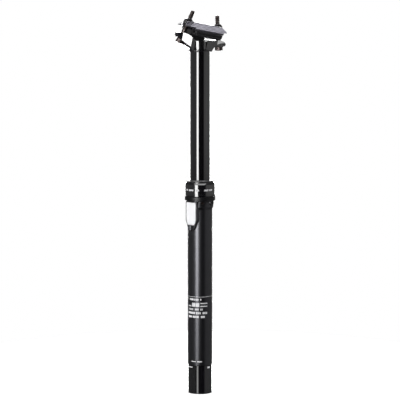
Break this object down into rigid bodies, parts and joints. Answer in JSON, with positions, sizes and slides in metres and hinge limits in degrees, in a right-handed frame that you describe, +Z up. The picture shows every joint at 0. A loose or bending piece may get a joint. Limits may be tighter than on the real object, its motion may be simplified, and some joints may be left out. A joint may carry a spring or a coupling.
{
  "type": "dropper seatpost",
  "caption": "Cable-operated telescopic bicycle seatpost with a sealed lift cartridge, side actuator and inline rail clamp.",
  "frame": {"origin": "centre of the outer tube's lower end, on the post's axis", "axes": "+Z up along the post towards the saddle, +X forwards towards the saddle's nose, +Y to the rider's left"},
  "size_m": [0.0668, 0.058, 0.4942],
  "materials": {
    "satin_black": "satin black anodised",
    "gloss_black": "gloss black anodised",
    "forged_black": "polished black anodised forging",
    "forged_grey": "satin dark grey anodised",
    "black_steel": "black oxide steel",
    "steel": "ground",
    "alloy": "machined",
    "plate": "brushed",
    "brass": "machined",
    "polymer": "moulded",
    "rubber": "matt",
    "steel_cord": "stranded"
  },
  "bodies": {
    "post": {"outer_tube": "satin_black", "collar": "gloss_black", "wiper_seal": "rubber", "upper_bushing": "polymer", "clutch_sleeve": "steel", "roller_cage": "polymer", "clutch_roller_1": "steel", "clutch_roller_2": "steel", "clutch_roller_3": "steel", "clutch_roller_4": "steel", "clutch_roller_5": "steel", "clutch_roller_6": "steel", "clutch_roller_7": "steel", "clutch_roller_8": "steel", "lock_screw_1": "black_steel", "lock_screw_2": "black_steel", "foot_sleeve": "gloss_black", "piston_rod": "steel", "rod_nut": "steel", "piston": "alloy", "cable_stop": "black_steel", "actuator_cover": "plate", "spool_screw": "black_steel", "lever_pin": "steel", "lever_spring": "steel"},
    "mast": {"mast_tube": "gloss_black", "lower_bushing": "polymer", "guide_key_1": "brass", "guide_key_2": "brass", "guide_key_3": "brass", "cartridge_tube": "alloy", "seal_head": "alloy", "cartridge_cap": "alloy", "retaining_nut": "alloy", "seat_head": "forged_black"},
    "gas_piston": {"floating_piston": "alloy"},
    "saddle_clamp": {"lower_clamp": "forged_black", "upper_clamp": "forged_grey"},
    "front_bolt": {"front_clamp_bolt": "black_steel", "front_bolt_washer": "black_steel"},
    "rear_bolt": {"rear_clamp_bolt": "black_steel", "rear_bolt_washer": "black_steel"},
    "front_nut": {"front_barrel_nut": "black_steel"},
    "rear_nut": {"rear_barrel_nut": "black_steel"},
    "spool": {"cable_spool": "alloy", "cable_clamp_screw": "black_steel"},
    "cord": {"link_cord": "steel_cord"},
    "lever": {"valve_lever": "steel"},
    "valve": {"valve_pin": "steel"}
  },
  "joints": [
    {"name": "mast_slide", "type": "slide", "parent": "post", "child": "mast", "axis": [0, 0, 1], "range_m": [-0.15, 0], "stiffness_N_per_m": 200, "springref_m": 0.6},
    {"name": "gas_piston_slide", "type": "slide", "parent": "mast", "child": "gas_piston", "axis": [0, 0, 1], "range_m": [0, 0.0289]},
    {"name": "clamp_tilt", "type": "hinge", "parent": "mast", "child": "saddle_clamp", "pos_m": [0.005, 0, 0.48002], "axis": [0, 1, 0], "range_deg": [-7, 7]},
    {"name": "front_bolt_swing", "type": "hinge", "parent": "mast", "child": "front_bolt", "pos_m": [0.02496, 0, 0.44896], "axis": [0, 1, 0], "range_deg": [-3.2, 3.2]},
    {"name": "rear_bolt_swing", "type": "hinge", "parent": "mast", "child": "rear_bolt", "pos_m": [-0.02543, 0, 0.45912], "axis": [0, 1, 0], "range_deg": [-3.2, 3.2]},
    {"name": "front_nut_turn", "type": "hinge", "parent": "saddle_clamp", "child": "front_nut", "pos_m": [0.02379, 0, 0.47133], "axis": [0, 1, 0], "range_deg": [-10.3, 10.3]},
    {"name": "rear_nut_turn", "type": "hinge", "parent": "saddle_clamp", "child": "rear_nut", "pos_m": [-0.01568, 0, 0.47929], "axis": [0, 1, 0], "range_deg": [-10.3, 10.3]},
    {"name": "valve_lever_turn", "type": "hinge", "parent": "post", "child": "lever", "pos_m": [0.00549, 0.00713, 0.01], "axis": [-0.7921, 0.6103, 0], "range_deg": [0, 9.1], "deforming": ["lever_spring"]},
    {"name": "spool_turn", "type": "hinge", "parent": "post", "child": "spool", "pos_m": [-0.01327, -0.00895, 0.2356], "axis": [-0.829, -0.5592, 0], "range_deg": [0, 44.5]},
    {"name": "cord_slide", "type": "slide", "parent": "post", "child": "cord", "axis": [0, 0, 1], "range_m": [0, 0.0034], "stiffness_N_per_m": 1070, "springref_m": -0.00324},
    {"name": "valve_pin_slide", "type": "slide", "parent": "post", "child": "valve", "axis": [0, 0, 1], "range_m": [0, 0.00142]}
  ],
  "couplings": [
    {"joint": "gas_piston_slide", "follows": "mast_slide", "ratio": -0.1914},
    {"joint": "front_bolt_swing", "follows": "clamp_tilt", "ratio": -0.431},
    {"joint": "rear_bolt_swing", "follows": "clamp_tilt", "ratio": -0.431},
    {"joint": "front_nut_turn", "follows": "clamp_tilt", "ratio": -1.431},
    {"joint": "rear_nut_turn", "follows": "clamp_tilt", "ratio": -1.431},
    {"joint": "spool_turn", "follows": "cord_slide", "rad_per_m": 227.27},
    {"joint": "valve_lever_turn", "follows": "cord_slide", "rad_per_m": 46.3},
    {"joint": "valve_pin_slide", "follows": "cord_slide", "ratio": 0.4167}
  ]
}
